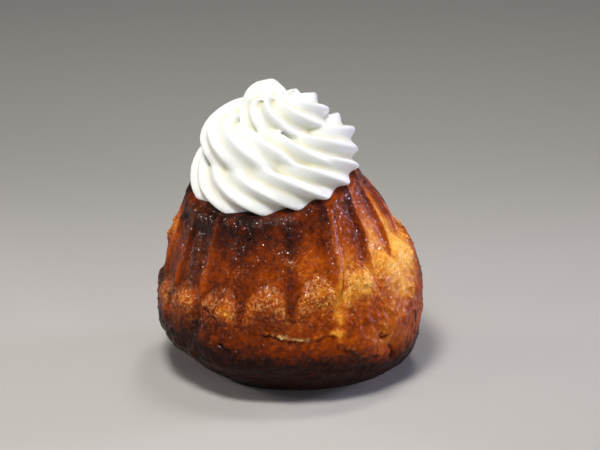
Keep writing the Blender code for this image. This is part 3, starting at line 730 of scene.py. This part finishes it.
def rope_path():
    """The rope's middle line as a chain of points that carry its outer side, its girth and its twist."""
    mesh = bpy.data.meshes.new("rope_path")
    shares = [k / ROPE_STEPS for k in range(ROPE_STEPS + 1)]
    points = [rope_middle(s) * MM for s in shares]
    mesh.from_pydata(points, [(k, k + 1) for k in range(ROPE_STEPS)], [])
    sides, girths, twists = [], [], []
    for share in shares:
        run = (rope_middle(share + 0.5 / ROPE_STEPS) - rope_middle(share - 0.5 / ROPE_STEPS)).normalized()
        outward = outward_at(share)
        sides.extend((outward - run * outward.dot(run)).normalized())
        to_peak = smooth(PEAK_STARTS, 1.0, share)
        girths.append(through(ROPE_RADII, share) * math.sqrt(1.0 - PEAK_THINS * to_peak**2) * MM)
        wound = TWIST_AT_START * share + (TWIST_AT_END - TWIST_AT_START) * share**2 / 2
        twists.append(2 * math.pi * COIL_TURNS * wound)
    mesh.attributes.new("side", "FLOAT_VECTOR", "POINT").data.foreach_set("vector", sides)
    store(mesh, "girth", girths)
    store(mesh, "twist", twists)
    return mesh


def piped_rope(finish):
    """A star-shaped section swept along the rope's path, with the cream that fills the coil's middle."""
    tree, given, last = new_tree(
        "piped_rope",
        [("Star Points", "NodeSocketInt"), ("Ridge Share", "NodeSocketFloat"), ("Section Points", "NodeSocketInt"),
         ("Core Foot Radius", "NodeSocketFloat"), ("Core Top Radius", "NodeSocketFloat"),
         ("Core Height", "NodeSocketFloat"), ("Core Foot", "NodeSocketVector")],
    )
    side = add_node(tree, "GeometryNodeInputNamedAttribute", {"Name": "side"}, data_type="FLOAT_VECTOR")
    girth = add_node(tree, "GeometryNodeInputNamedAttribute", {"Name": "girth"}, data_type="FLOAT")
    twist = add_node(tree, "GeometryNodeInputNamedAttribute", {"Name": "twist"}, data_type="FLOAT")
    line = add_node(tree, "GeometryNodeMeshToCurve", {"Mesh": given["Geometry"]})
    faced = add_node(
        tree, "GeometryNodeSetCurveNormal", {"Curve": line.outputs[0], "Normal": side.outputs["Attribute"]}, mode="FREE"
    )
    wound = add_node(tree, "GeometryNodeSetCurveTilt", {"Curve": faced.outputs[0], "Tilt": twist.outputs["Attribute"]})
    circle = add_node(tree, "GeometryNodeCurvePrimitiveCircle", {"Resolution": given["Section Points"], "Radius": 1.0})
    along = add_node(tree, "GeometryNodeSplineParameter").outputs["Factor"]
    half_turns = add_node(tree, "ShaderNodeMath", {0: along, 1: given["Star Points"]}, operation="MULTIPLY")
    phase = add_node(tree, "ShaderNodeMath", {0: half_turns.outputs[0], 1: math.pi}, operation="MULTIPLY")
    wave = add_node(tree, "ShaderNodeMath", {0: phase.outputs[0]}, operation="SINE")
    positive = add_node(tree, "ShaderNodeMath", {0: wave.outputs[0]}, operation="ABSOLUTE")
    valley = add_node(tree, "ShaderNodeMath", {0: positive.outputs[0], 1: VALLEY_POWER}, operation="POWER")
    cut = add_node(tree, "ShaderNodeMath", {0: valley.outputs[0], 1: given["Ridge Share"]}, operation="MULTIPLY")
    reach = add_node(tree, "ShaderNodeMath", {0: 1.0, 1: cut.outputs[0]}, operation="SUBTRACT")
    there = add_node(tree, "GeometryNodeInputPosition")
    starred = add_node(
        tree, "ShaderNodeVectorMath", {0: there.outputs[0], "Scale": reach.outputs[0]}, operation="SCALE"
    )
    star = add_node(
        tree, "GeometryNodeSetPosition", {"Geometry": circle.outputs["Curve"], "Position": starred.outputs[0]}
    )
    rope = add_node(
        tree, "GeometryNodeCurveToMesh",
        {"Curve": wound.outputs[0], "Profile Curve": star.outputs[0], "Scale": girth.outputs["Attribute"],
         "Fill Caps": True},
    )
    cone = add_node(
        tree, "GeometryNodeMeshCone",
        {"Radius Bottom": given["Core Foot Radius"], "Radius Top": given["Core Top Radius"],
         "Depth": given["Core Height"]},
    )
    core = add_node(
        tree, "GeometryNodeTransform", {"Geometry": cone.outputs["Mesh"], "Translation": given["Core Foot"]}
    )
    both = add_node(tree, "GeometryNodeJoinGeometry", {0: rope.outputs[0]})
    tree.links.new(core.outputs[0], both.inputs[0])
    end_tree(tree, both.outputs[0], finish, last)
    return tree


def soft_skin(finish):
    """Rounds the joined turns as soft cream does, most of all where the rope was pressed flat, and notes how deep
    each point lies in a crease."""
    tree, given, last = new_tree(
        "soft_skin",
        [("Softening", "NodeSocketInt"), ("Pressing", "NodeSocketInt"), ("Pressed Place", "NodeSocketVector"),
         ("Pressed Reach", "NodeSocketFloat"), ("Crease Reach", "NodeSocketInt"), ("Deep Crease", "NodeSocketFloat"),
         ("Deepest Crease", "NodeSocketFloat"), ("Crease Filled", "NodeSocketFloat")],
    )
    there = add_node(tree, "GeometryNodeInputPosition").outputs[0]
    eased = add_node(
        tree, "GeometryNodeBlurAttribute", {"Value": there, "Iterations": given["Softening"]}, data_type="FLOAT_VECTOR"
    )
    softened = add_node(tree, "GeometryNodeSetPosition", {"Geometry": given["Geometry"], "Position": eased.outputs[0]})
    off_place = add_node(tree, "ShaderNodeVectorMath", {0: there, 1: given["Pressed Place"]}, operation="DISTANCE")
    inside = add_node(
        tree, "ShaderNodeMapRange",
        {"Value": off_place.outputs["Value"], "From Min": given["Pressed Reach"], "From Max": 0.0},
        interpolation_type="SMOOTHSTEP",
    )
    pressed = add_node(
        tree, "GeometryNodeBlurAttribute",
        {"Value": there, "Iterations": given["Pressing"], "Weight": inside.outputs[0]}, data_type="FLOAT_VECTOR",
    )
    rounded = add_node(
        tree, "GeometryNodeSetPosition", {"Geometry": softened.outputs[0], "Position": pressed.outputs[0]}
    )
    broad = add_node(
        tree, "GeometryNodeBlurAttribute", {"Value": there, "Iterations": given["Crease Reach"]},
        data_type="FLOAT_VECTOR",
    )
    away = add_node(tree, "ShaderNodeVectorMath", {0: broad.outputs[0], 1: there}, operation="SUBTRACT")
    outward = add_node(tree, "GeometryNodeInputNormal").outputs[0]
    depth = add_node(tree, "ShaderNodeVectorMath", {0: away.outputs[0], 1: outward}, operation="DOT_PRODUCT")
    noted = add_node(
        tree, "GeometryNodeStoreNamedAttribute",
        {"Geometry": rounded.outputs[0], "Name": "crease", "Value": depth.outputs["Value"]},
        data_type="FLOAT", domain="POINT",
    )
    share = add_node(
        tree, "ShaderNodeMapRange",
        {"Value": depth.outputs["Value"], "From Min": given["Deep Crease"], "From Max": given["Deepest Crease"],
         "To Max": given["Crease Filled"]},
    )
    lift = add_node(tree, "ShaderNodeVectorMath", {0: away.outputs[0], "Scale": share.outputs[0]}, operation="SCALE")
    filled = add_node(tree, "GeometryNodeSetPosition", {"Geometry": noted.outputs[0], "Offset": lift.outputs[0]})
    shaded = add_node(tree, "GeometryNodeSetShadeSmooth", {"Geometry": filled.outputs[0]})
    end_tree(tree, shaded.outputs[0], finish, last)
    return tree


def whipped_cream():
    """Whipped dairy cream: white fat foam that light enters and leaves, so its folds glow, and a soft satin surface.
    Its creases are painted darker and olive as shade, and yellow in the deepest ones as painted light through thin
    cream."""
    made = bpy.data.materials.new("whipped_dairy_cream")
    made.use_nodes = True
    tree = made.node_tree
    shader = tree.nodes["Principled BSDF"]
    # Creases are painted darker and olive as shade, and yellow in the deepest as painted light through thin cream.
    crease = add_node(tree, "ShaderNodeAttribute", attribute_name="crease").outputs["Fac"]
    deep = add_node(tree, "ShaderNodeMapRange", {"Value": crease, "From Max": CREASE_SHADE_DEPTH * MM})
    crease_shade = add_node(tree, "ShaderNodeValToRGB", {"Fac": deep.outputs[0]})
    crease_shade.color_ramp.elements.new(0.45)
    for element, colour in zip(crease_shade.color_ramp.elements, ("#e9edec", "#d0cea8", "#e4c854")):
        element.color = linear(colour)
    tree.links.new(crease_shade.outputs["Color"], shader.inputs["Base Color"])
    shader.inputs["Roughness"].default_value = 0.42
    shader.inputs["IOR"].default_value = 1.4
    shader.inputs["Subsurface Weight"].default_value = 0.3
    shader.inputs["Subsurface Radius"].default_value = (1.0, 0.95, 0.85)
    shader.inputs["Subsurface Scale"].default_value = 1.5 * MM
    return made


cream_finish = whipped_cream()
rope = add_piece("rope", rope_path(), cream_finish)
use_tree(
    rope,
    piped_rope(cream_finish),
    {
        "Star Points": STAR_POINTS,
        "Ridge Share": RIDGE_SHARE,
        "Section Points": STAR_POINTS * POINTS_PER_RIDGE,
        "Core Foot Radius": CORE_FOOT_RADIUS * MM,
        "Core Top Radius": CORE_TOP_RADIUS * MM,
        "Core Height": (CORE_TOP - CORE_FOOT) * MM,
        "Core Foot": (COIL_MIDDLE + Vector((0.0, 0.0, CORE_FOOT))) * MM,
    },
)
grown = rope.modifiers.new("grown_together", "REMESH")
grown.mode = "VOXEL"
grown.voxel_size = CREAM_VOXEL * MM
use_tree(
    rope,
    soft_skin(cream_finish),
    {
        "Softening": SOFTENING,
        "Pressing": PRESSING,
        "Pressed Place": PRESSED_PLACE * MM,
        "Pressed Reach": PRESSED_REACH * MM,
        "Crease Reach": CREASE_REACH,
        "Deep Crease": DEEP_CREASE * MM,
        "Deepest Crease": DEEPEST_CREASE * MM,
        "Crease Filled": CREASE_FILLED,
    },
)
cream_mesh = bpy.data.meshes.new_from_object(rope.evaluated_get(bpy.context.evaluated_depsgraph_get()))
bpy.data.objects.remove(rope)
cream_mesh.name = "cream_rosette"

# The rosette rests on the tilted top, so its underside is cut along it, a hair below the surface.
top_centre = Vector((TOP_SHIFT[0], TOP_SHIFT[1], CAKE_HEIGHT * UPRIGHT)) * MM
top_up = Vector((-math.tan(TILT_LEFT), -math.tan(TILT_FORWARD), 1.0)).normalized()
cream_mesh.transform(Matrix.Translation(top_centre))
form = bmesh.new()
form.from_mesh(cream_mesh)
bmesh.ops.bisect_plane(
    form,
    geom=[*form.verts, *form.edges, *form.faces],
    plane_co=top_centre - top_up * SUNK * MM,
    plane_no=-top_up,
    clear_outer=True,
)
# Only the largest piece stays, without scraps that the cut left loose.
pieces, seen = [], set()
for face in form.faces:
    if face in seen:
        continue
    piece, front = {face}, [face]
    while front:
        for edge in front.pop().edges:
            joined = set(edge.link_faces) - piece
            piece |= joined
            front.extend(joined)
    seen |= piece
    pieces.append(piece)
scraps = seen - max(pieces, key=len)
bmesh.ops.delete(form, geom=list(scraps), context="FACES")
bmesh.ops.holes_fill(form, edges=form.edges, sides=0)
bmesh.ops.triangulate(form, faces=[face for face in form.faces if len(face.verts) > 4])
bmesh.ops.recalc_face_normals(form, faces=form.faces)
form.to_mesh(cream_mesh)
form.free()
cream_mesh.shade_smooth()
cream = add_piece("cream_rosette", cream_mesh, cream_finish)
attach(cream, "root")
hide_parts("whipped_cream")

# ---------------------------------------------------------------- the floor, the light and the camera
# A plain pale sheet under soft studio light, seen from the front and 19 degrees above.
FLOOR_HALF = 1.6
LIT_POINT = Vector((0.0, 0.0, 0.04))
floor_mesh = bpy.data.meshes.new("floor")
corners = [(x * FLOOR_HALF, y * FLOOR_HALF, 0) for x, y in ((-1, -1), (1, -1), (1, 1), (-1, 1))]
floor_mesh.from_pydata(corners, [], [(0, 1, 2, 3)])
pale_sheet = bpy.data.materials.new("pale_paper")
pale_sheet.use_nodes = True
sheet_shader = pale_sheet.node_tree.nodes["Principled BSDF"]
sheet_shader.inputs["Base Color"].default_value = linear("#b9b8b6")
sheet_shader.inputs["Roughness"].default_value = 0.7
floor = add_piece("floor", floor_mesh, pale_sheet)


def softbox(name, place, size, power, colour, spread=180):
    """A square area light, aimed at the middle of the cake. Its spread is in degrees."""
    light = bpy.data.lights.new(name, "AREA")
    light.size, light.energy, light.color, light.spread = size, power, linear(colour)[:3], math.radians(spread)
    lamp = bpy.data.objects.new(name, light)
    lamp.location = place
    lamp.visible_camera = False
    lamp.rotation_mode = "QUATERNION"
    lamp.rotation_quaternion = (LIT_POINT - Vector(place)).to_track_quat("-Z", "Y")
    bpy.context.scene.collection.objects.link(lamp)


softbox("key", (-0.08, -0.27, 0.50), 0.12, 2.5, "#fffcf6")
softbox("overhead", (0.10, 0.10, 0.56), 0.10, 0.8, "#fffaf4")
softbox("front_right", (0.24, -0.60, 0.26), 0.07, 0.5, "#f6ecf6")
softbox("left", (-0.42, -0.22, 0.30), 0.05, 0.28, "#ffeef2")
softbox("right_rim", (0.46, 0.14, 0.12), 0.13, 0.09, "#e6deff", 40)
softbox("left_rim", (-0.46, 0.15, 0.16), 0.09, 0.035, "#fff0e4", 40)
world = bpy.data.worlds.new("studio")
world.use_nodes = True
sky = world.node_tree.nodes["Background"]
sky.inputs["Color"].default_value = linear("#d0d0d2")
sky.inputs["Strength"].default_value = 0.08
bpy.context.scene.world = world
bpy.context.scene.view_settings.view_transform = "Standard"

FRAME_WIDTH, FRAME_HEIGHT = 600.0, 450.0  # in pixels
PIXEL = 0.283 * MM  # what one of them spans at the cake
LENS, SENSOR = 190.0, 36.0
ELEVATION = math.radians(19.0)
ORIGIN_PIXEL = (298.0, 358.6)
look = Vector((0.0, math.cos(ELEVATION), -math.sin(ELEVATION)))
above = Vector((0.0, math.sin(ELEVATION), math.cos(ELEVATION)))
aim = Vector(((FRAME_WIDTH / 2 - ORIGIN_PIXEL[0]) * PIXEL, 0.0, 0.0))
aim += above * (ORIGIN_PIXEL[1] - FRAME_HEIGHT / 2) * PIXEL
lens = bpy.data.cameras.new("camera")
lens.lens, lens.sensor_width, lens.clip_start = LENS, SENSOR, 0.01
camera = bpy.data.objects.new("camera", lens)
camera.location = aim - look * (FRAME_WIDTH * LENS / SENSOR * PIXEL)
camera.rotation_mode = "QUATERNION"
camera.rotation_quaternion = look.to_track_quat("-Z", "Y")
bpy.context.scene.collection.objects.link(camera)
bpy.context.scene.camera = camera
